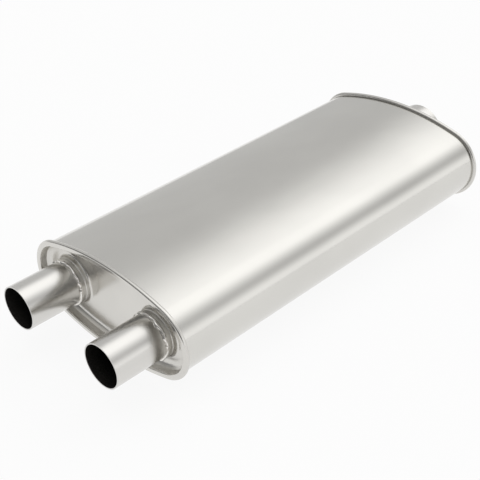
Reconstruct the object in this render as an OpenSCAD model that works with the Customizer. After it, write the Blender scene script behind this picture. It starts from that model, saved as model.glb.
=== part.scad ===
// Oval twin-inlet, single-outlet exhaust muffler in stainless sheet.
// It lies along X on the rolled rims at its two ends: the twin pipes point to -X, the single
// pipe to +X, and Z is up. The origin is on the ground, under the middle of the whole length.

/* [Shell] */
// Length over the fronts of the two rolled rims
body_l = 558.8; // [420:0.1:760]
// Width of the outer shell sheet
shell_w = 269.8; // [250:0.1:300]
// Height of the outer shell sheet
shell_h = 121; // [112:0.1:130]
// Radius of the shell's two rounded sides
side_r = 48.1; // [42:0.1:54]
// Thickness of each of the two wrapped shell sheets
wrap_t = 0.9; // [0.8:0.05:1.2]
// Clearance between sheets that lie on each other
lay_gap = 0.15; // [0.1:0.01:0.2]
// Width of the weld bead along the shell's underside
seam_w = 4; // [3:0.1:6]
// Height of that bead under the sheet
seam_h = 0.8; // [0.5:0.1:1.2]

/* [Rolled rims] */
// How far the rims stand out from the shell sheet
rim_proud = 4.2; // [3.6:0.1:6]
// Inside radius of the bends of the rolled rims
seam_bend_r = 0.3; // [0.2:0.01:0.33]

/* [End caps] */
// Thickness of the stamped end caps
cap_t = 1.5; // [1.2:0.05:1.8]
// Length of the straight wall of the dish
dish_wall = 8.1; // [6:0.1:12]
// Lean of that wall towards the middle
dish_draft = 8; // [4:0.5:12]
// Turn of the crease between the wall and the fillet
crease_turn = 30; // [20:1:40]
// Bend radius of the crease
crease_r = 1.6; // [1.2:0.1:3]
// Radius of the fillet between the crease and the flat face
dish_fillet_r = 12; // [8:0.5:14]
// How far the lips of the pipe collars lie behind the rim fronts
lip_depth = 3.2; // [2:0.1:5]
// Fillet radius at the root of each collar
root_r = 3.2; // [2.5:0.1:4]
// Radius of the two bends of the step round each collar
step_r = 1; // [0.9:0.1:1.5]
// Turn of those two bends
step_turn = 45; // [30:1:60]
// Straight run of each collar between its step and its root fillet
collar_run = 1; // [0.5:0.1:3]
// Straight run between the two bends of a crease or a step
bend_run = 0.2; // [0.1:0.1:1]

/* [Pipes] */
// Outside diameter of the twin pipes
inlet_od = 57.15; // [44.4:0.05:60]
// Wall of the twin pipes
inlet_wall = 1.5; // [1.2:0.1:2]
// Distance between the axes of the twin pipes
inlet_spacing = 155; // [145:0.5:160]
// How far the twin pipes stand out from the rim front
inlet_reach = 69.85; // [50:0.05:120]
// How far the twin pipes run into the body from the rim front
inlet_inside = 42; // [36:0.5:60]
// Outside diameter of the single pipe
outlet_od = 76.2; // [50:0.1:80]
// Wall of the single pipe
outlet_wall = 1.5; // [1.2:0.1:2]
// How far the single pipe stands out from the rim front
outlet_reach = 57.15; // [40:0.05:120]
// How far the single pipe runs into the body from the rim front
outlet_inside = 48; // [30:0.5:60]
// How much the inner end of each pipe is drawn down in radius, to slip into its collar
end_step = 0.5; // [0.4:0.05:0.8]
// How far the shoulder of that step stands in front of the weld bead
shoulder_gap = 1; // [0.5:0.1:3]
// Clearance between each pipe and its collar
pipe_fit = 0.15; // [0.1:0.01:0.2]
// Leg of the weld bead along each pipe
weld_leg = 3; // [2:0.1:5]
// How far the weld bead laps past the collar's lip
weld_lap = 0.5; // [0.2:0.1:1]

/* [Core tubes] */
// Wall of the perforated core tubes
core_wall = 1.2; // [1:0.1:1.5]
// Length of each core tube inside its pipe
core_lap = 22; // [12:0.5:30]
// How far the core tubes run past the rear baffle's collars
core_tail = 6; // [2:0.5:15]
// Diameter of the perforations
hole_d = 8; // [5:0.5:10]
// Distance between rings of perforations
hole_pitch = 18; // [14:0.5:24]
// Perforations in each ring
hole_count = 9; // [6:1:10]
// Plain length of tube beside each baffle
hole_margin = 18; // [12:1:30]

/* [Baffles] */
// Thickness of the baffles
baffle_t = 1.2; // [1:0.1:1.5]
// Distance of the front baffle from the front rim
front_baffle_at = 100; // [90:1:120]
// Distance of the middle baffle from the front rim
middle_baffle_at = 255; // [220:1:270]
// Distance of the rear baffle from the front rim
rear_baffle_at = 410; // [380:1:420]
// Width of the flange that each baffle has against the shell
baffle_flange = 12; // [8:0.5:16]
// Bend radius of the baffle's flange and hole collars
baffle_bend_r = 3; // [2:0.5:4]
// Height of the collars round the baffle's holes
baffle_collar = 9; // [6:0.5:12]

/* [Packing] */
// Thickness of the steel wool round each core tube
wool_t = 6; // [4:0.5:8]
// Clearance round the wool and the fibre packing
pack_gap = 0.3; // [0.2:0.05:0.5]

/* [Hidden] */

// Facets of the preview's circles
$fn = 72;
arch_fn = 300;
bend_step = 22.5;

// Overlap that makes every cut pass its faces
cut = 1;
square_bend = 90;

// Oval of four arcs: two side arcs of side_r and two flat arches tangent to them
side_y = shell_w / 2 - side_r;
arch_r = (side_y * side_y + shell_h * shell_h / 4 - side_r * side_r) / (shell_h - 2 * side_r);
arch_z = arch_r - shell_h / 2;
join_turn = atan2(arch_z, side_y);

// Place of the body over the ground
body_x = (inlet_reach - outlet_reach) / 2;
axis_z = shell_h / 2 + rim_proud;

// Layers of the rolled rims, as offsets from the outside of the shell
inner_wrap = -wrap_t - lay_gap;
wraps_inside = inner_wrap - wrap_t;
flange_top = rim_proud - cap_t - lay_gap;
rim_w = 2 * cap_t + 2 * wrap_t + 3 * lay_gap;
inner_flange_at = -cap_t - lay_gap;
outer_flange_at = inner_flange_at - wrap_t - lay_gap;

inlet_r = inlet_od / 2;
outlet_r = outlet_od / 2;
inlet_end_r = inlet_r - end_step;
outlet_end_r = outlet_r - end_step;
shoulder_at = weld_leg + shoulder_gap - lip_depth;
core_r = inlet_end_r - inlet_wall - lay_gap;
core_start = inlet_inside - core_lap;
core_end = rear_baffle_at + baffle_collar + core_tail;
wool_r = core_r + pack_gap + wool_t;

// A sheet is traced along its middle line. Each move is a straight length, then a turn in degrees
// (left is positive) and the radius of that turn; a station is [x, y, heading].
function ahead(at, l) = [at[0] + l * cos(at[2]), at[1] + l * sin(at[2]), at[2]];
function turned(at, turn, r) =
  let (s = sign(turn), x = at[0] - s * r * sin(at[2]), y = at[1] + s * r * cos(at[2]), h = at[2] + turn)
  [x + s * r * sin(h), y - s * r * cos(h), h];
function bend(at, turn, r) =
  let (steps = ceil(abs(turn) / bend_step))
  steps == 0 ? [at] : [for (k = [0 : steps]) turned(at, turn * k / steps, r)];
function walk(moves, at, i = 0) =
  i == len(moves) ? [] :
  let (arc = bend(ahead(at, moves[i][0]), moves[i][1], moves[i][2]))
  concat(arc, walk(moves, arc[len(arc) - 1], i + 1));
function stations(moves, at) = concat([at], walk(moves, at));
function last(list) = list[len(list) - 1];
function beside(at, d) = [at[0] - d * sin(at[2]), at[1] + d * cos(at[2])];
function sheet(moves, at, t) =
  let (path = stations(moves, at))
  concat([for (p = path) beside(p, t / 2)],
         [for (i = [len(path) - 1 : -1 : 0]) beside(path[i], -t / 2)]);

// The cap's sheet, from the edge tucked behind the rim, round the rim and down to the flat face.
// x is the offset from the outside of the shell, y the distance in front of the rim front.
roll_r = seam_bend_r + cap_t / 2;
wall_turn = square_bend - dish_draft;
wall_at = wraps_inside - lay_gap - cap_t / 2;
tuck = [lay_gap, cap_t / 2 - rim_w, 0];
cap_moves = [
  [rim_proud - cap_t / 2 - roll_r - lay_gap, square_bend, roll_r],
  [rim_w - cap_t - 2 * roll_r, square_bend, roll_r],
  [rim_proud - cap_t / 2 - roll_r - wall_at - roll_r * tan(wall_turn / 2), wall_turn, roll_r],
  [dish_wall, -crease_turn, crease_r],
  [bend_run, crease_turn - wall_turn, dish_fillet_r + cap_t / 2],
  [cut, 0, 0]
];
face_edge = last(stations(cap_moves, tuck));
face_at = face_edge[1];

// A collar's sheet, from its lip down over the step and the root fillet to the flat face.
// x is the distance from the pipe's axis.
function collar_tail() = [
  [bend_run, -step_turn, step_r],
  [collar_run, square_bend, root_r + cap_t / 2],
  [cut, 0, 0]
];
function collar_moves() =
  let (rest = last(stations(concat([[0, step_turn, step_r]], collar_tail()), [0, 0, -square_bend])))
  concat([[-lip_depth - face_at + rest[1], step_turn, step_r]], collar_tail());
function collar_start(pipe_r) = [pipe_r + pipe_fit + cap_t / 2, -lip_depth, -square_bend];
function collar_foot(pipe_r) = last(stations(collar_moves(), collar_start(pipe_r)))[0];

// The part of the section plane that belongs to the arc on the +X side, and to the upper arch
module side_zone() {
  out = shell_w;
  polygon([
    [side_y, 0],
    [side_y + out * cos(join_turn), out * sin(join_turn)],
    [side_y + out, out * sin(join_turn)],
    [side_y + out, -out * sin(join_turn)],
    [side_y + out * cos(join_turn), -out * sin(join_turn)]
  ]);
}

module arch_zone() {
  out = shell_w;
  polygon([
    [side_y, 0],
    [side_y + out * cos(join_turn), out * sin(join_turn)],
    [-side_y - out * cos(join_turn), out * sin(join_turn)],
    [-side_y, 0]
  ]);
}

// Filled oval, grown from the outside of the shell
module oval(grow = 0) {
  for (s = [0, 1]) mirror([s, 0]) intersection() {
    translate([side_y, 0]) circle(side_r + grow);
    side_zone();
  }
  for (s = [0, 1]) mirror([0, s]) intersection() {
    translate([0, -arch_z]) circle(arch_r + grow, $fn = arch_fn);
    arch_zone();
  }
}

module oval_ring(outside, inside) {
  difference() {
    oval(outside);
    oval(inside);
  }
}

// A sheet section carried round the oval
module oval_sweep(points) {
  tall = body_l;
  for (s = [0, 1]) mirror([s, 0, 0]) intersection() {
    translate([side_y, 0, 0]) rotate_extrude() translate([side_r, 0]) polygon(points);
    linear_extrude(tall, center = true) side_zone();
  }
  for (s = [0, 1]) mirror([0, s, 0]) intersection() {
    translate([0, -arch_z, 0]) rotate_extrude($fn = arch_fn) translate([arch_r, 0]) polygon(points);
    linear_extrude(tall, center = true) arch_zone();
  }
}

// Stands what is drawn over the XY plane on the body's axis, with its top towards +X
module along_body() {
  translate([body_x, 0, axis_z]) rotate([90, 0, 90]) children();
}

// The same, from the plane of the front rim into the body
module from_front() {
  along_body() translate([0, 0, -body_l / 2]) children();
}

// The same, with the top pointing out of one end and zero at that end's rim front
module at_end(front) {
  along_body() mirror([0, 0, front ? 1 : 0]) translate([0, 0, body_l / 2]) children();
}

// One wrapped sheet with the flange that each rim rolls round
module wrap(outside, flange_at) {
  straight = body_l + 2 * flange_at;
  along_body() {
    linear_extrude(straight, center = true) oval_ring(outside, outside - wrap_t);
    for (s = [-1, 1]) translate([0, 0, s * (straight - wrap_t) / 2])
      linear_extrude(wrap_t, center = true) oval_ring(flange_top, outside - wrap_t);
  }
}

module outer_shell() {
  color([0.77, 0.76, 0.74]) wrap(0, outer_flange_at);
}

module inner_shell() {
  color([0.66, 0.65, 0.63]) wrap(inner_wrap, inner_flange_at);
}

module seam_weld() {
  bead_r = (seam_w * seam_w / 4 + seam_h * seam_h) / (2 * seam_h);
  color([0.6, 0.58, 0.55]) along_body()
    linear_extrude(body_l - 2 * rim_w - 2 * lay_gap, center = true)
      translate([0, -shell_h / 2 - lay_gap]) intersection() {
        translate([0, bead_r - seam_h]) circle(bead_r);
        translate([-seam_w / 2, -seam_h - cut]) square([seam_w, seam_h + cut]);
      }
}

// Drawn collar for one pipe
module collar(pipe_r) {
  rotate_extrude() polygon(sheet(collar_moves(), collar_start(pipe_r), cap_t));
}

// End cap with a collar at each place across the body
module cap(pipe_r, places) {
  oval_sweep(sheet(cap_moves, tuck, cap_t));
  translate([0, 0, face_at - cap_t / 2]) linear_extrude(cap_t) difference() {
    oval(face_edge[0] + cut / 2);
    for (y = places) translate([y, 0]) circle(collar_foot(pipe_r) - cut / 2);
  }
  for (y = places) translate([y, 0, 0]) collar(pipe_r);
}

module front_cap() {
  color([0.7, 0.69, 0.67]) at_end(true) cap(inlet_end_r, [-inlet_spacing / 2, inlet_spacing / 2]);
}

module rear_cap() {
  color([0.7, 0.69, 0.67]) at_end(false) cap(outlet_end_r, [0]);
}

// Plain-cut pipe from its mouth over the shoulder to its drawn-down end inside the body
module pipe(r, wall, reach, inside) {
  line = [[r, reach], [r, shoulder_at], [r - end_step, shoulder_at - end_step], [r - end_step, -inside]];
  rotate_extrude() polygon(concat(line, [for (i = [3 : -1 : 0]) [line[i][0] - wall, line[i][1]]]));
}

module inlet_pipe(side) {
  color([0.82, 0.81, 0.79]) at_end(true) translate([side * inlet_spacing / 2, 0, 0])
    pipe(inlet_r, inlet_wall, inlet_reach, inlet_inside);
}

module inlet_pipe_left() inlet_pipe(1);
module inlet_pipe_right() inlet_pipe(-1);

module outlet_pipe() {
  color([0.82, 0.81, 0.79]) at_end(false) pipe(outlet_r, outlet_wall, outlet_reach, outlet_inside);
}

// Fillet weld between a pipe and the lip of its collar
module fillet_weld(pipe_r) {
  foot = pipe_fit + cap_t + weld_lap;
  rotate_extrude() translate([pipe_r + lay_gap / 2, lay_gap / 2 - lip_depth]) intersection() {
    scale([1, weld_leg / foot]) circle(foot);
    square([foot, weld_leg]);
  }
}

module inlet_weld(side) {
  color([0.56, 0.53, 0.49]) at_end(true) translate([side * inlet_spacing / 2, 0, 0])
    fillet_weld(inlet_end_r);
}

module inlet_weld_left() inlet_weld(1);
module inlet_weld_right() inlet_weld(-1);

module outlet_weld() {
  color([0.56, 0.53, 0.49]) at_end(false) fillet_weld(outlet_end_r);
}

// Flanged oval partition; its holes have drawn collars that hold the core tubes
module baffle(at) {
  mid_r = baffle_bend_r + baffle_t / 2;
  edge = wraps_inside - lay_gap - baffle_t / 2;
  hole_r = core_r + lay_gap;
  flange = [[baffle_flange - mid_r, -square_bend, mid_r], [cut, 0, 0]];
  lip = [[baffle_collar - mid_r, square_bend, mid_r], [cut, 0, 0]];
  color([0.6, 0.6, 0.6]) from_front() translate([0, 0, at]) {
    oval_sweep(sheet(flange, [edge, baffle_flange, -square_bend], baffle_t));
    translate([0, 0, -baffle_t / 2]) linear_extrude(baffle_t) difference() {
      oval(edge - mid_r - cut / 2);
      for (s = [-1, 1]) translate([s * inlet_spacing / 2, 0])
        circle(hole_r + baffle_t / 2 + mid_r + cut / 2);
    }
    for (s = [-1, 1]) translate([s * inlet_spacing / 2, 0, 0])
      rotate_extrude() polygon(sheet(lip, [hole_r + baffle_t / 2, baffle_collar, -square_bend], baffle_t));
  }
}

module front_baffle() baffle(front_baffle_at);
module middle_baffle() baffle(middle_baffle_at);
module rear_baffle() baffle(rear_baffle_at);

// Perforated core tube; the rings of holes lie between neighbouring baffles
module core_tube(side) {
  color([0.64, 0.64, 0.63]) from_front() translate([side * inlet_spacing / 2, 0, 0]) difference() {
    translate([0, 0, core_start]) cylinder(h = core_end - core_start, r = core_r);
    translate([0, 0, core_start - cut])
      cylinder(h = core_end - core_start + 2 * cut, r = core_r - core_wall);
    hole_rings(front_baffle_at, middle_baffle_at);
    hole_rings(middle_baffle_at, rear_baffle_at);
  }
}

module hole_rings(from, to) {
  first = from + baffle_collar + hole_margin;
  rings = floor((to - hole_margin - first) / hole_pitch);
  for (i = [0 : rings], j = [0 : hole_count - 1])
    translate([0, 0, first + i * hole_pitch]) rotate([0, 90, (j + i % 2 / 2) * 360 / hole_count])
      translate([0, 0, core_r - core_wall - cut])
        cylinder(h = core_wall + 2 * cut, d = hole_d, $fn = 16);
}

module core_tube_left() core_tube(1);
module core_tube_right() core_tube(-1);

// Steel wool wound on one core tube between two baffles
module wool(side, from, to) {
  start = from + baffle_collar + pack_gap;
  color([0.5, 0.5, 0.49]) from_front() translate([side * inlet_spacing / 2, 0, start])
    linear_extrude(to - baffle_t / 2 - pack_gap - start) difference() {
      circle(wool_r);
      circle(core_r + pack_gap);
    }
}

module front_wool_left() wool(1, front_baffle_at, middle_baffle_at);
module front_wool_right() wool(-1, front_baffle_at, middle_baffle_at);
module rear_wool_left() wool(1, middle_baffle_at, rear_baffle_at);
module rear_wool_right() wool(-1, middle_baffle_at, rear_baffle_at);

// Glass fibre packing that fills the shell round the wool between two baffles
module packing(from, to) {
  start = from + baffle_flange + pack_gap;
  color([0.86, 0.84, 0.76]) from_front() translate([0, 0, start])
    linear_extrude(to - baffle_t / 2 - pack_gap - start) difference() {
      oval(wraps_inside - pack_gap);
      for (s = [-1, 1]) translate([s * inlet_spacing / 2, 0]) circle(wool_r + pack_gap);
    }
}

module front_packing() packing(front_baffle_at, middle_baffle_at);
module rear_packing() packing(middle_baffle_at, rear_baffle_at);

outer_shell();
inner_shell();
seam_weld();
front_cap();
rear_cap();
inlet_pipe_left();
inlet_pipe_right();
outlet_pipe();
inlet_weld_left();
inlet_weld_right();
outlet_weld();
front_baffle();
middle_baffle();
rear_baffle();
core_tube_left();
core_tube_right();
front_wool_left();
front_wool_right();
rear_wool_left();
rear_wool_right();
front_packing();
rear_packing();
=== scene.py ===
# %% [markdown]
# # An oval exhaust muffler in satin stainless steel
# The real thing is sheet metal: a body wrapped from two sheets, a stamped cap rolled over each end,
# three pipe stubs in drawn collars, and weld beads where the stubs meet the caps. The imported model
# gives the exact places and sizes. This notebook lays smooth, finely curved pieces over it, because
# satin steel shows every flat facet in its reflections.

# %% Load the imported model
import math

import bmesh
import bpy
from mathutils import Matrix, Vector, noise


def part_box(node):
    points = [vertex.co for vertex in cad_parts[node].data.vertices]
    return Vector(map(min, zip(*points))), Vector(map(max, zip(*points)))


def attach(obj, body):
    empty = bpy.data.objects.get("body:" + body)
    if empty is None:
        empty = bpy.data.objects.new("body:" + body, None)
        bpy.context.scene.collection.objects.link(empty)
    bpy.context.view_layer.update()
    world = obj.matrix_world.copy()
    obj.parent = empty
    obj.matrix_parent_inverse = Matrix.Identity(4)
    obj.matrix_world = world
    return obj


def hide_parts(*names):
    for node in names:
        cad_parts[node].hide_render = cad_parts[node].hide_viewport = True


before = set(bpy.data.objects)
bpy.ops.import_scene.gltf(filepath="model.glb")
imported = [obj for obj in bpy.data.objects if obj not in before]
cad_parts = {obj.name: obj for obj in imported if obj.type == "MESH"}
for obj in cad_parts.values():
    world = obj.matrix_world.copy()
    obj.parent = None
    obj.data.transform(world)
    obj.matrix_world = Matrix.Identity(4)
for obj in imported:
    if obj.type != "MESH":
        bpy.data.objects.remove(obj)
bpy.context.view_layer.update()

# %% [markdown]
# ## The camera
# A product photograph is taken with a long lens from well above. The lens and the place of the
# camera were solved from the outlines of the pipe mouths, the rims and the body, so the picture
# needs no lens shift. A matrix sets the place and all three angles at once, with the small roll.

# %% Camera
MM = 0.001
PICTURE_PX = 480
FOCAL_PX = 996.2
aim = Vector((-50.5, 0, 52.3)) * MM
distance = 1304.5 * MM
around, above, roll = (math.radians(a) for a in (-44.05, 33.15, -2.28))

back = Vector((math.sin(around) * math.cos(above), -math.cos(around) * math.cos(above), math.sin(above)))
level = Vector((math.cos(around), math.sin(around), 0))
upright = back.cross(level)
right = math.cos(roll) * level + math.sin(roll) * upright
up = -math.sin(roll) * level + math.cos(roll) * upright

camera_data = bpy.data.cameras.new("camera")
camera_data.sensor_width = 36
camera_data.lens = FOCAL_PX / PICTURE_PX * camera_data.sensor_width
camera_data.clip_start = 0.05
camera_data.clip_end = 50
camera = bpy.data.objects.new("camera", camera_data)
turned = Matrix((right, up, back)).transposed().to_4x4()
camera.matrix_world = Matrix.Translation(aim + distance * back) @ turned
bpy.context.scene.collection.objects.link(camera)
bpy.context.scene.camera = camera
print("camera at", tuple(round(c, 3) for c in camera.location), "lens", round(camera_data.lens, 1), "mm")

# %% [markdown]
# ## Sizes
# The large sizes come from the boxes of the CAD nodes. Most of the small ones, such as the sheets'
# thicknesses, are the ones that the sheets were drawn with. Two differ, because it looks nearer to
# the real thing: the front rim is a millimetre wider, and the collars' lips stand a millimetre
# further forward. The body's oval is four arcs: two tight side arcs and two wide, nearly flat
# arches that run into them without a kink.

# %% Sizes
front_low, front_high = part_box("front_cap")
AXIS_Z = (front_low.z + front_high.z) / 2
FRONT = front_low.x
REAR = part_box("rear_cap")[1].x

SIDE_R = 48.1 * MM
SIDE_Y = 86.8 * MM
ARCH_Z = 297.6 * MM
JOIN = math.atan2(ARCH_Z, SIDE_Y)

WRAP_T = 0.9 * MM
CAP_T = 1.5 * MM
PIPE_T = 1.5 * MM
LAY_GAP = 0.15 * MM
RIM_W = 5.25 * MM
NEAR_RIM_W = 6.24 * MM
RIM_PROUD = 4.2 * MM
FLAT_DEPTH = 15.5 * MM
LIP_DEPTH = 2.2 * MM
print("rims from", round(FRONT, 4), "to", round(REAR, 4), "axis at height", round(AXIS_Z, 4))

# %% [markdown]
# ## Drawing a sheet's edge
# Sheet metal is folded, so its section is a chain of straight runs and round bends. Here a vertex
# is walked along that chain: it is extruded for a straight run and spun about the bend's centre
# for a bend. Drawn this way, every bend is truly round and the thickness can come later.

# %% Walk along a folded section
def walk(bm, start, out, ahead, heading, moves):
    """Draws runs and bends in the plane of out and ahead; a move is (run, turn in degrees, radius)."""
    axis = out.cross(ahead)
    corner = bm.verts.new(start)
    before = set(bm.edges)
    heading = math.radians(heading)
    for run, turn, radius in moves:
        if run:
            step = bmesh.ops.extrude_vert_indiv(bm, verts=[corner])["verts"]
            along = out * math.cos(heading) + ahead * math.sin(heading)
            bmesh.ops.translate(bm, verts=step, vec=along * run)
            corner = step[0]
        if turn:
            to_left = ahead * math.cos(heading) - out * math.sin(heading)
            centre = corner.co + to_left * math.copysign(radius, turn)
            spun = bmesh.ops.spin(
                bm, geom=[corner], cent=centre, axis=axis, dvec=(0, 0, 0), angle=math.radians(turn),
                steps=max(2, math.ceil(abs(turn) / 11)),
                use_merge=False, use_normal_flip=False, use_duplicate=False,
            )
            corner = next(g for g in spun["geom_last"] if isinstance(g, bmesh.types.BMVert))
            heading += math.radians(turn)
    return [e for e in bm.edges if e not in before], corner


# %% [markdown]
# ## Carrying a section round
# A pipe is a section spun once round its axis. The oval body is the same idea in four turns: the
# section is spun round one side arc, then handed on to the arch, the other side and the other
# arch. Each turn starts where the last one ended, and because the arcs are tangent the surface
# runs on smoothly, as it does on the wrapped sheet.

# %% Spin round a pipe and round the body
ALONG = Vector((1, 0, 0))


def section(edges):
    """The edges with their vertices, each once and always in the same order."""
    verts = dict.fromkeys(v for e in edges for v in e.verts)
    return list(verts) + list(edges)


def spin_round_pipe(bm, edges, y, steps=128):
    bmesh.ops.spin(
        bm, geom=section(edges), cent=(0, y, AXIS_Z), axis=ALONG, dvec=(0, 0, 0), angle=2 * math.pi,
        steps=steps, use_merge=True, use_normal_flip=False, use_duplicate=False,
    )


def spin_round_body(bm, edges, degrees_a_step=1.6):
    arch = math.pi - 2 * JOIN
    turns = [
        (SIDE_Y, 0, JOIN), (0, -ARCH_Z, arch), (-SIDE_Y, 0, 2 * JOIN), (0, ARCH_Z, arch), (SIDE_Y, 0, JOIN),
    ]
    geom = section(edges)
    for y, z, angle in turns:
        spun = bmesh.ops.spin(
            bm, geom=geom, cent=(0, y, AXIS_Z + z), axis=ALONG, dvec=(0, 0, 0), angle=angle,
            steps=math.ceil(math.degrees(angle) / degrees_a_step), use_merge=False, use_normal_flip=False,
            use_duplicate=False,
        )
        geom = spun["geom_last"]
    bmesh.ops.remove_doubles(bm, verts=bm.verts, dist=0.01 * MM)


# %% [markdown]
# ## Making an object of it
# The sections are drawn on the sheet's middle line, so Solidify gives both sides at once and keeps
# the thickness even round the bends. A small Bevel then breaks the sheared edges, as a deburring
# wheel does, and keeps the shading of the flat sheet beside them flat.


def make_piece(name, bm, finishes, node, sheet=0.0, edge=0.0, inner=0, rim=0):
    bmesh.ops.recalc_face_normals(bm, faces=bm.faces)
    mesh = bpy.data.meshes.new(name)
    for face in bm.faces:
        face.smooth = True
    bm.to_mesh(mesh)
    bm.free()
    piece = bpy.data.objects.new(name, mesh)
    bpy.context.scene.collection.objects.link(piece)
    for finish in finishes:
        mesh.materials.append(finish)
    if sheet:
        wall = piece.modifiers.new("sheet", "SOLIDIFY")
        wall.thickness = sheet
        wall.offset = 0
        wall.use_even_offset = True
        wall.material_offset = inner
        wall.material_offset_rim = rim
    if edge:
        bevel = piece.modifiers.new("deburred edges", "BEVEL")
        bevel.width = edge
        bevel.segments = 2
        bevel.limit_method = "ANGLE"
        bevel.angle_limit = math.radians(50)
        bevel.harden_normals = True
    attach(piece, "root")
    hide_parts(node)
    print(name, "has", len(mesh.polygons), "faces before its modifiers")


# %% [markdown]
# ## Writing finishes as formulas
# A finish is a picture made of sums: noise, stripes and masks added and scaled. The Wire class
# wraps one output of a shader node, so that a sum in Python adds the Math node for it.

# %% A small class for shader sums
class Wire:
    """One output of a shader node. Python's operators on it add Math nodes."""

    def __init__(self, tree, socket):
        self.tree = tree
        self.socket = socket

    def node(self, kind, settings=None, sockets=None, output=0):
        made = self.tree.nodes.new(kind)
        for key, value in (settings or {}).items():
            setattr(made, key, value)
        for key, value in (sockets or {}).items():
            if isinstance(value, Wire):
                self.tree.links.new(value.socket, made.inputs[key])
            else:
                made.inputs[key].default_value = value
        return Wire(self.tree, made.outputs[output])

    def sum(self, operation, first, second=0.0):
        return self.node("ShaderNodeMath", {"operation": operation}, {0: first, 1: second})

    def __add__(self, other):
        return self.sum("ADD", self, other)

    def __radd__(self, other):
        return self.sum("ADD", other, self)

    def __sub__(self, other):
        return self.sum("SUBTRACT", self, other)

    def __rsub__(self, other):
        return self.sum("SUBTRACT", other, self)

    def __mul__(self, other):
        return self.sum("MULTIPLY", self, other)

    def __rmul__(self, other):
        return self.sum("MULTIPLY", other, self)

    def feed(self, shader, name):
        self.tree.links.new(self.socket, shader.inputs[name])

    def stretched(self, x, y, z):
        return self.node("ShaderNodeMapping", {}, {"Vector": self, "Scale": (x, y, z)})

    def noise(self, scale, detail=3.0, roughness=0.5):
        sockets = {"Vector": self, "Scale": scale, "Detail": detail, "Roughness": roughness}
        return self.node("ShaderNodeTexNoise", {}, sockets)

    def between(self, low, high):
        """Rises from 0 to 1 as the value goes from low to high."""
        sockets = {"Value": self, "From Min": low, "From Max": high}
        return self.node("ShaderNodeMapRange", {"interpolation_type": "SMOOTHSTEP"}, sockets)

    def part(self, index):
        """The x, y or z of a position."""
        return self.node("ShaderNodeSeparateXYZ", {}, {"Vector": self}, output=index)

    def blend(self, dark, light):
        """A colour between two, by this value."""
        mixed = self.node("ShaderNodeMix", {"data_type": "RGBA"}, {"Factor": self}, output=2)
        mixed.socket.node.inputs[6].default_value = (*dark, 1)
        mixed.socket.node.inputs[7].default_value = (*light, 1)
        return mixed

    def bump(self, height, strength=1.0):
        sockets = {"Height": self, "Distance": height, "Strength": strength}
        return self.node("ShaderNodeBump", {}, sockets)


def new_finish(name, metallic=1.0, roughness=0.3):
    material = bpy.data.materials.new(name)
    material.use_nodes = True
    skin = material.node_tree.nodes["Principled BSDF"]
    skin.inputs["Metallic"].default_value = metallic
    skin.inputs["Roughness"].default_value = roughness
    place = material.node_tree.nodes.new("ShaderNodeTexCoord")
    return material, skin, Wire(material.node_tree, place.outputs["Object"])


# %% [markdown]
# ## Satin stainless sheet
# Rolled stainless sheet is a soft mirror. Its grain runs with the rolling direction, far too fine
# to see as lines, and shows as slightly uneven gloss. Broad, weak clouds come from handling and
# from the sheet not being perfectly flat. So the colour hardly changes, the roughness carries a
# long stretched noise, and two bumps of very different size disturb the reflections a little.

# %% Sheet finishes
DULLER = 0.14


def sheet_finish(name, colour, gloss, clouds=1.0, dull=None):
    material, skin, place = new_finish(name)
    grain_lines = place.stretched(6, 260, 260).noise(9, 2)
    cloud = place.stretched(5, 9, 9).noise(1.6, 2)
    tone = cloud.between(0.3, 0.7) * 0.6 + grain_lines * 0.4
    dark = tuple(c * 0.955 for c in colour)
    light = tuple(min(1, c * 1.03) for c in colour)
    tone.blend(dark, light).feed(skin, "Base Color")
    rough = gloss + (grain_lines - 0.5) * 0.07 + (cloud - 0.5) * (0.05 * clouds)
    if dull:
        rough = rough + dull(place) * DULLER
    rough.feed(skin, "Roughness")
    relief = cloud + grain_lines * 0.004
    relief.bump(0.0006 * clouds, 0.5).feed(skin, "Normal")
    return material


def in_dish(place):
    """One on the drawn walls and collars of both caps, nought on their rims, a little on the flat."""
    from_middle = place.sum("ABSOLUTE", place.part(0) - (FRONT + REAR) / 2)
    mouth = (REAR - FRONT) / 2
    past_rim = 1 - from_middle.between(mouth - 4 * MM, mouth - 2 * MM)
    off_flat = from_middle.between(mouth - FLAT_DEPTH + 1 * MM, mouth - FLAT_DEPTH + 4 * MM)
    return past_rim * (0.35 + off_flat * 0.65)


shell_steel = sheet_finish("satin shell sheet", (0.68, 0.669, 0.637), 0.16)
cap_steel = sheet_finish("drawn cap sheet", (0.68, 0.665, 0.632), 0.18, clouds=0.7, dull=in_dish)
print("made", shell_steel.name, "and", cap_steel.name)

# %% [markdown]
# ## Tube, weld and inner finishes
# The stubs are bright drawn tube, with fine lines round them and along them. The bore is unpolished,
# and its near-black colour is painted shade, as light hardly reaches inside the tube. Weld metal is
# bright, because it was melted, with a fine uneven skin. The pieces sealed inside stay the CAD's own,
# in mill finish and fibre.

# %% Tube and weld finishes
def tube_finish(name, colour, gloss):
    material, skin, place = new_finish(name)
    rings = place.stretched(900, 14, 14).noise(1.0, 2)
    lengths = place.stretched(8, 300, 300).noise(4, 2)
    (rings * 0.5 + lengths * 0.5).blend(tuple(c * 0.95 for c in colour), colour).feed(skin, "Base Color")
    (gloss + (rings - 0.5) * 0.08 + (lengths - 0.5) * 0.05).feed(skin, "Roughness")
    (rings + lengths).bump(0.00001, 0.5).feed(skin, "Normal")
    return material


def rough_finish(name, dark, light, roughness, scale, relief):
    material, skin, place = new_finish(name, roughness=roughness)
    grain = place.noise(scale, 4)
    grain.between(0.3, 0.7).blend(dark, light).feed(skin, "Base Color")
    (roughness + (grain - 0.5) * 0.2).feed(skin, "Roughness")
    grain.bump(relief, 0.6).feed(skin, "Normal")
    return material


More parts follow.
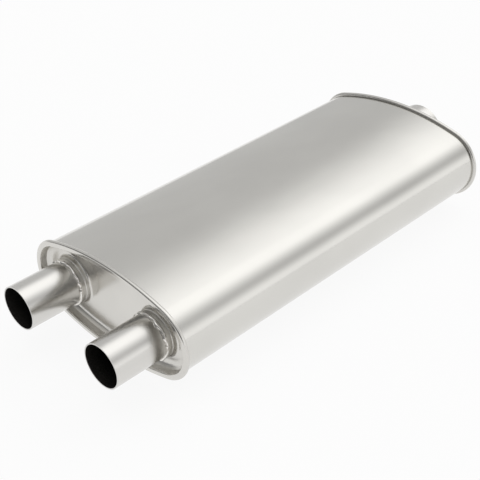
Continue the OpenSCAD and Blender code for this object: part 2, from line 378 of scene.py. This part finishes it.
tube_steel = tube_finish("bright drawn tube", (0.71, 0.697, 0.67), 0.23)
# The bore's near-black colour is painted shade for the inside of the tube
bore_painted_shade = rough_finish("tube bore in painted shade", (0.035, 0.033, 0.03), (0.07, 0.066, 0.06), 0.55, 700, 0.00002)
cut_steel = rough_finish("cut tube edge", (0.6, 0.59, 0.57), (0.72, 0.71, 0.69), 0.3, 2500, 0.00001)
weld_steel = rough_finish("weld metal", (0.66, 0.64, 0.6), (0.84, 0.82, 0.79), 0.14, 900, 0.00002)
inner_steel = rough_finish("mill finish sheet", (0.2, 0.195, 0.185), (0.3, 0.29, 0.28), 0.45, 300, 0.00002)
print("made", [m.name for m in bpy.data.materials])

# %% [markdown]
# ## Packing finishes
# Steel wool is a felt of fine dark wires and glass fibre a pale matted blanket. Both are sealed in
# the body, so a stretched noise in colour and bump is enough to tell them apart when it is opened.

# %% Packing finishes
def fibre_finish(name, dark, light, metallic, roughness, scale):
    material, skin, place = new_finish(name, metallic=metallic, roughness=roughness)
    strands = place.stretched(1, 1, 6).noise(scale, 6, 0.7)
    tufts = place.noise(scale / 12, 3)
    (strands * 0.7 + tufts * 0.3).between(0.35, 0.65).blend(dark, light).feed(skin, "Base Color")
    (strands + tufts).bump(0.0008, 0.8).feed(skin, "Normal")
    return material


steel_wool = fibre_finish("steel wool", (0.12, 0.12, 0.115), (0.5, 0.5, 0.49), 0.9, 0.5, 900)
glass_fibre = fibre_finish("glass fibre", (0.62, 0.58, 0.46), (0.88, 0.86, 0.78), 0.0, 0.9, 400)
for node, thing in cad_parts.items():
    finish = inner_steel
    if "wool" in node:
        finish = steel_wool
    if "packing" in node:
        finish = glass_fibre
    thing.data.materials.clear()
    thing.data.materials.append(finish)
print("inner nodes dressed:", len(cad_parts))

# %% [markdown]
# ## The wrapped shell
# The shell is one sheet wrapped round the oval, with a narrow flange turned up at each end for the
# cap to roll over. The section is a flange, a long straight run and the other flange.

# %% Shell
OUT = Vector((0, 1, 0))
SIDE_MIDDLE = Vector((0, SIDE_Y + SIDE_R, AXIS_Z))


def at_side(x, proud):
    """A point at the middle of the +Y side, so far out from the shell's outside."""
    return SIDE_MIDDLE + Vector((x, proud, 0))


bm = bmesh.new()
# The flange lies behind the cap's sheet and the inner wrap's flange
flange_x = CAP_T + LAY_GAP + WRAP_T + LAY_GAP + WRAP_T / 2
flange_top = RIM_PROUD - CAP_T - LAY_GAP
bend_r = 0.8 * MM
span = REAR - FRONT - 2 * flange_x
shell_moves = [
    (flange_top + WRAP_T / 2 - bend_r, -90, bend_r),
    (span - 2 * bend_r, -90, bend_r),
    (flange_top + WRAP_T / 2 - bend_r, 0, 0),
]
edges, _ = walk(bm, at_side(FRONT + flange_x, flange_top), OUT, ALONG, 180, shell_moves)
spin_round_body(bm, edges, degrees_a_step=1.25)
make_piece("shell", bm, [shell_steel], "outer_shell", sheet=WRAP_T)

# %% [markdown]
# ## Rolled rims and dished caps
# At each end a stamped cap is rolled over the shell's flange: up behind it, over the top, down its
# front, then into the dish with a crisp crease, a soft fillet and the flat face. It could be the
# flange's box with a bevel, but one bevel can't give a wide soft roll behind and a tight crease in
# front, so the same walk draws it. The front rim shows a broad dark band in the photograph, so its
# front face leans back four degrees and its roll is wider than the rear one's. The collars for the
# pipes are spun round their own axes and the flat face is filled between the oval edge and the
# round collar feet.

# %% Caps
# Radius of the crease between the rim's front and the dish, and the wall's draft in degrees
CREASE_R = 1.05 * MM
DISH_DRAFT = 8
# How far the rim stands proud of the corner where its front and the dish's wall would meet
RIM_FALL = 6.328 * MM
# Length of sheet that is rolled in behind the flange, with its bend
TUCKED = 3.3 * MM
# The dish's wall, the soft bend under it and the fillet that runs out into the flat face
WALL = 8.1 * MM
WALL_TURN, WALL_R = 30, 1.6 * MM
FILLET_R = 12.75 * MM
BEND_RUN = 0.2 * MM
FLAT_START = 1 * MM


def rim_moves(width, back_r, roll_r, lean):
    """Up behind the flange, over it, down the leaning front, then into the dish and to the flat face."""
    s, c = math.sin(math.radians(lean)), math.cos(math.radians(lean))
    into_dish = 90 - DISH_DRAFT
    corner = round(math.tan(math.radians(into_dish / 2)), 3)
    face = (RIM_FALL - roll_r * (1 - s) - CREASE_R * (s + corner)) / c
    top = width - CAP_T - back_r - roll_r * c - face * s - CREASE_R * (1 - c)
    print("rim", round(width / MM, 2), "mm wide has a top run of", round(top / MM, 2), "mm")
    return [
        (TUCKED - back_r, 90, back_r),
        (top, 90 - lean, roll_r),
        (face, into_dish + lean, CREASE_R),
        (WALL, -WALL_TURN, WALL_R),
        (BEND_RUN, WALL_TURN - into_dish, FILLET_R),
        (FLAT_START, 0, 0),
    ]


# From the lip down over a small step, then out through the root fillet to the flat face
LIP_RUN = 5.794 * MM
STEP_TURN, STEP_R = 45, 1 * MM
ROOT_R = 3.95 * MM
NECK_RUN = 2 * MM
FOOT_RUN = 0.5 * MM
COLLAR_MOVES = [
    (LIP_RUN, STEP_TURN, STEP_R),
    (BEND_RUN, -STEP_TURN, STEP_R),
    (NECK_RUN, 90, ROOT_R),
    (FOOT_RUN, 0, 0),
]


def make_cap(name, node, rim_front, ahead, pipes, width, back_r, roll_r, lean):
    bm = bmesh.new()
    tuck = at_side(rim_front, LAY_GAP) + ahead * (CAP_T / 2 - width)
    edges, _ = walk(bm, tuck, OUT, ahead, 0, rim_moves(width, back_r, roll_r, lean))
    spin_round_body(bm, edges)
    for y, pipe_r in pipes:
        lip = Vector((rim_front, y + pipe_r + LAY_GAP + CAP_T / 2, AXIS_Z)) - ahead * LIP_DEPTH
        edges, _ = walk(bm, lip, OUT, ahead, -90, COLLAR_MOVES)
        spin_round_pipe(bm, edges, y)
    flat_x = rim_front - ahead.x * FLAT_DEPTH
    on_flat = [v for v in bm.verts if abs(v.co.x - flat_x) < 0.05 * MM]
    open_edges = [e for e in bm.edges if e.is_boundary and all(v in on_flat for v in e.verts)]
    bmesh.ops.triangle_fill(bm, use_beauty=True, use_dissolve=False, edges=open_edges, normal=ahead)
    print(name, "flat face filled from", len(open_edges), "edges")
    make_piece(name, bm, [cap_steel], node, sheet=CAP_T, edge=0.2 * MM)


INLET_R, OUTLET_R = 28.575 * MM, 38.1 * MM
INLET_Y = 77.5 * MM
DRAWN_DOWN = 0.5 * MM
INLET_END_R, OUTLET_END_R = INLET_R - DRAWN_DOWN, OUTLET_R - DRAWN_DOWN
inlets = [(INLET_Y, INLET_END_R), (-INLET_Y, INLET_END_R)]
outlet = [(0, OUTLET_END_R)]
make_cap(
    "front_end_cap", "front_cap", FRONT, -ALONG, inlets,
    width=NEAR_RIM_W, back_r=2.4 * MM, roll_r=2 * MM, lean=4,
)
make_cap(
    "rear_end_cap", "rear_cap", REAR, ALONG, outlet,
    width=RIM_W, back_r=2.2 * MM, roll_r=CREASE_R, lean=0,
)

# %% [markdown]
# ## Pipe stubs
# Each stub is plain tube, drawn down half a millimetre where it slips into its collar, with a
# square cut at the mouth. The wall comes from Solidify, and its material offset gives the bore and
# the cut edge finishes of their own.

# %% Pipes
SHOULDER_AHEAD = 1.3 * MM
SHOULDER_R = 0.6 * MM
SHOULDER_TURN = 45


def make_pipe(name, node, y, radius, mouth, inside, shoulder_x, ahead):
    bm = bmesh.new()
    start = Vector((inside, y + radius - DRAWN_DOWN - PIPE_T / 2, AXIS_Z))
    slope = math.radians(SHOULDER_TURN)
    ramp = (DRAWN_DOWN - 2 * SHOULDER_R * (1 - math.cos(slope))) / math.sin(slope)
    moves = [
        (abs(shoulder_x - inside), -SHOULDER_TURN, SHOULDER_R),
        (ramp, SHOULDER_TURN, SHOULDER_R),
    ]
    edges, end = walk(bm, start, OUT, ahead, 90, moves)
    walk(bm, end.co.copy(), OUT, ahead, 90, [(abs(mouth - end.co.x), 0, 0)])
    bmesh.ops.remove_doubles(bm, verts=bm.verts, dist=0.001 * MM)
    spin_round_pipe(bm, list(bm.edges), y, steps=160)
    # The bore's finish is painted shade
    finishes = [tube_steel, bore_painted_shade, cut_steel]
    make_piece(name, bm, finishes, node, sheet=PIPE_T, edge=0.25 * MM, inner=1, rim=2)


inlet_low, inlet_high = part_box("inlet_pipe_left")
outlet_low, outlet_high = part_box("outlet_pipe")
for side, y in (("left", INLET_Y), ("right", -INLET_Y)):
    make_pipe(
        f"inlet_stub_{side}", f"inlet_pipe_{side}", y, INLET_R,
        inlet_low.x, inlet_high.x, FRONT - SHOULDER_AHEAD, -ALONG,
    )
make_pipe(
    "outlet_stub", "outlet_pipe", 0, OUTLET_R,
    outlet_high.x, outlet_low.x, REAR + SHOULDER_AHEAD, ALONG,
)

# %% [markdown]
# ## Weld beads
# A hand-fed weld is a string of overlapping puddles, so the bead swells and dips and wanders a
# little. Each bead starts as a round section spun about the pipe. Then every ring of it is swelled
# and shifted by a smooth noise read round a circle, so that the pattern closes on itself.

# %% Weld beads
BEAD_R = 2.15 * MM
BEAD_WIDER = 1.15
# How far the bead's middle lies off the pipe's skin, and ahead of the collar's lip
BEAD_OUT = 0.75 * MM
BEAD_AHEAD = 1 * MM
# How finely the slow drift and the quick wobble change along the bead
SLOW, QUICK = 1.7, 4.5


def make_weld(name, node, y, pipe_r, x, ahead, seed, puddles=46):
    bm = bmesh.new()
    ring = bmesh.ops.create_circle(bm, cap_ends=False, segments=14, radius=BEAD_R)["verts"]
    bmesh.ops.rotate(bm, verts=ring, cent=(0, 0, 0), matrix=Matrix.Rotation(math.pi / 2, 3, "Z"))
    bmesh.ops.scale(bm, verts=ring, vec=(BEAD_WIDER, 1, 1))
    reach = pipe_r + BEAD_OUT
    centre = Vector((x, y + reach, AXIS_Z)) + ahead * BEAD_AHEAD
    bmesh.ops.translate(bm, verts=ring, vec=centre)
    spin_round_pipe(bm, list(bm.edges), y, steps=230)
    for vert in bm.verts:
        angle = math.atan2(vert.co.z - AXIS_Z, vert.co.y - y)
        heart = Vector((centre.x, y + math.cos(angle) * reach, AXIS_Z + math.sin(angle) * reach))
        slow = noise.noise(Vector((math.cos(angle) * SLOW, math.sin(angle) * SLOW, seed)))
        quick = noise.noise(Vector((math.cos(angle) * QUICK, math.sin(angle) * QUICK, seed + 9)))
        puddle = abs(math.sin(angle * puddles / 2 + 2.2 * slow))
        swell = 0.9 + 0.3 * slow + 0.5 * quick + 0.07 * puddle
        vert.co = heart + (vert.co - heart) * swell + ahead * (0.9 * slow + 1.5 * quick) * MM
    make_piece(name, bm, [weld_steel], node)


for side, y, seed in (("left", INLET_Y, 3.1), ("right", -INLET_Y, 8.3)):
    make_weld(
        f"inlet_bead_{side}", f"inlet_weld_{side}", y, INLET_END_R, FRONT + LIP_DEPTH, -ALONG, seed,
    )
make_weld("outlet_bead", "outlet_weld", 0, OUTLET_END_R, REAR - LIP_DEPTH, ALONG, 31.9, puddles=60)

# %% [markdown]
# ## The seam along the underside
# The wrapped sheet closes with one long weld under the body. It is machine-laid, so its ripples
# are regular. A flattened round section is carried along the body in short steps and swelled in
# the rhythm of the ripples.

# %% Seam bead
SEAM_R = 2 * MM
SEAM_FLATNESS = 0.4
RIPPLE = 3.2 * MM
SEAM_STEPS = 520

seam_low, seam_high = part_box("seam_weld")
bm = bmesh.new()
ring = bmesh.ops.create_circle(bm, cap_ends=False, segments=12, radius=SEAM_R)["verts"]
bmesh.ops.rotate(bm, verts=ring, cent=(0, 0, 0), matrix=Matrix.Rotation(math.pi / 2, 3, "Y"))
bmesh.ops.scale(bm, verts=ring, vec=(1, 1, SEAM_FLATNESS))
bmesh.ops.translate(bm, verts=ring, vec=(seam_low.x, 0, seam_high.z))
stride = (seam_high.x - seam_low.x) / SEAM_STEPS
bmesh.ops.spin(
    bm, geom=section(list(bm.edges)), cent=(0, 0, 0), axis=ALONG, dvec=(stride, 0, 0), angle=0,
    steps=SEAM_STEPS, use_merge=False, use_normal_flip=False, use_duplicate=False,
)
bmesh.ops.holes_fill(bm, edges=[e for e in bm.edges if e.is_boundary], sides=0)
for vert in bm.verts:
    ripple = abs(math.sin(vert.co.x / RIPPLE * math.pi))
    wave = 0.88 + 0.12 * ripple + 0.05 * noise.noise(vert.co * 90)
    vert.co.y *= wave
    vert.co.z = seam_high.z + (vert.co.z - seam_high.z) * wave
make_piece("seam_bead", bm, [weld_steel], "seam_weld")

# %% [markdown]
# ## Floor
# The photograph is a cut-out on white, so the floor is plain white paper. The light on it would
# leave it a little grey. More light would wash the steel out, so the paper gets most of its white
# from its own shine, and only for rays that look at it: the camera's, and those that the steel
# mirrors. The rest of the paper takes the light as it comes, which keeps the body's shadow.

# %% Floor
PAPER = (0.93, 0.93, 0.93, 1)
WHITE = (1, 1, 1, 1)


def make_floor(size, lift):
    bm = bmesh.new()
    bmesh.ops.create_grid(bm, x_segments=1, y_segments=1, size=size)
    mesh = bpy.data.meshes.new("floor")
    bm.to_mesh(mesh)
    bm.free()
    floor = bpy.data.objects.new("floor", mesh)
    bpy.context.scene.collection.objects.link(floor)
    material = bpy.data.materials.new("pale floor")
    material.use_nodes = True
    tree = material.node_tree
    tree.nodes.remove(tree.nodes["Principled BSDF"])
    rays = tree.nodes.new("ShaderNodeLightPath")
    seen = Wire(tree, rays.outputs["Is Camera Ray"])
    glossy = Wire(tree, rays.outputs["Is Glossy Ray"])
    through = Wire(tree, rays.outputs["Is Transmission Ray"])
    looked_at = seen.sum("MAXIMUM", seen, seen.sum("MAXIMUM", glossy, through))
    paper = seen.node("ShaderNodeBsdfDiffuse", {}, {"Color": PAPER})
    white = seen.node("ShaderNodeEmission", {}, {"Color": WHITE, "Strength": 1.0})
    mixed = seen.node("ShaderNodeMixShader", {}, {0: looked_at * lift, 1: paper, 2: white})
    tree.links.new(mixed.socket, tree.nodes["Material Output"].inputs["Surface"])
    mesh.materials.append(material)
    return floor


floor = make_floor(size=6, lift=0.9)
print("floor", floor.name)

# %% [markdown]
# ## The room
# Bright metal is drawn by what it mirrors, so the light is a plain studio: a grey room, one long
# soft light over the body, and a soft card low on the near side. Lamps would do, but each one
# leaves a hard patch in the steel, so the lights are soft steps in the world. The studio in front
# of the mouths is dark, and a little lighter higher up. That draws the collars and the ends of the
# pipes. To the camera itself the world is white.

# %% The room
# Brightness of the room, what each light adds to it, and the dark studio low down and high up
ROOM_GREY = 0.65
LONG_LIGHT = 0.75
LOW_CARD = 0.5
STUDIO_LOW = 0.15
STUDIO_HIGH = 0.5

world = bpy.data.worlds.new("studio room")
world.use_nodes = True
tree = world.node_tree
looking = Wire(tree, tree.nodes.new("ShaderNodeTexCoord").outputs["Generated"])
height = looking.part(2)
# Half turn round the body's axis: 0 at the far horizon, 0.5 overhead, 1 at the near horizon
turn = looking.sum("ARCTAN2", height, looking.part(1)) * (1 / math.pi)
long_light = turn.between(0.25, 0.45) - turn.between(0.55, 0.8)
low_card = turn.between(0.8, 0.95)
lit_half = ROOM_GREY + long_light * LONG_LIGHT + low_card * LOW_CARD
dark_half = STUDIO_LOW + height.between(0.2, 0.8) * (STUDIO_HIGH - STUDIO_LOW)
# Nought looking forward past the mouths, one everywhere else
away = looking.part(0).between(-0.45, -0.25)
room = lit_half * away + dark_half * (1 - away)
seen = Wire(tree, tree.nodes.new("ShaderNodeLightPath").outputs["Is Camera Ray"])
(room * (1 - seen) + seen).feed(tree.nodes["Background"], "Strength")
tree.nodes["Background"].inputs["Color"].default_value = WHITE
bpy.context.scene.world = world
bpy.context.scene.view_settings.view_transform = "Standard"
print("room of grey", ROOM_GREY, "with a long light and a low card")
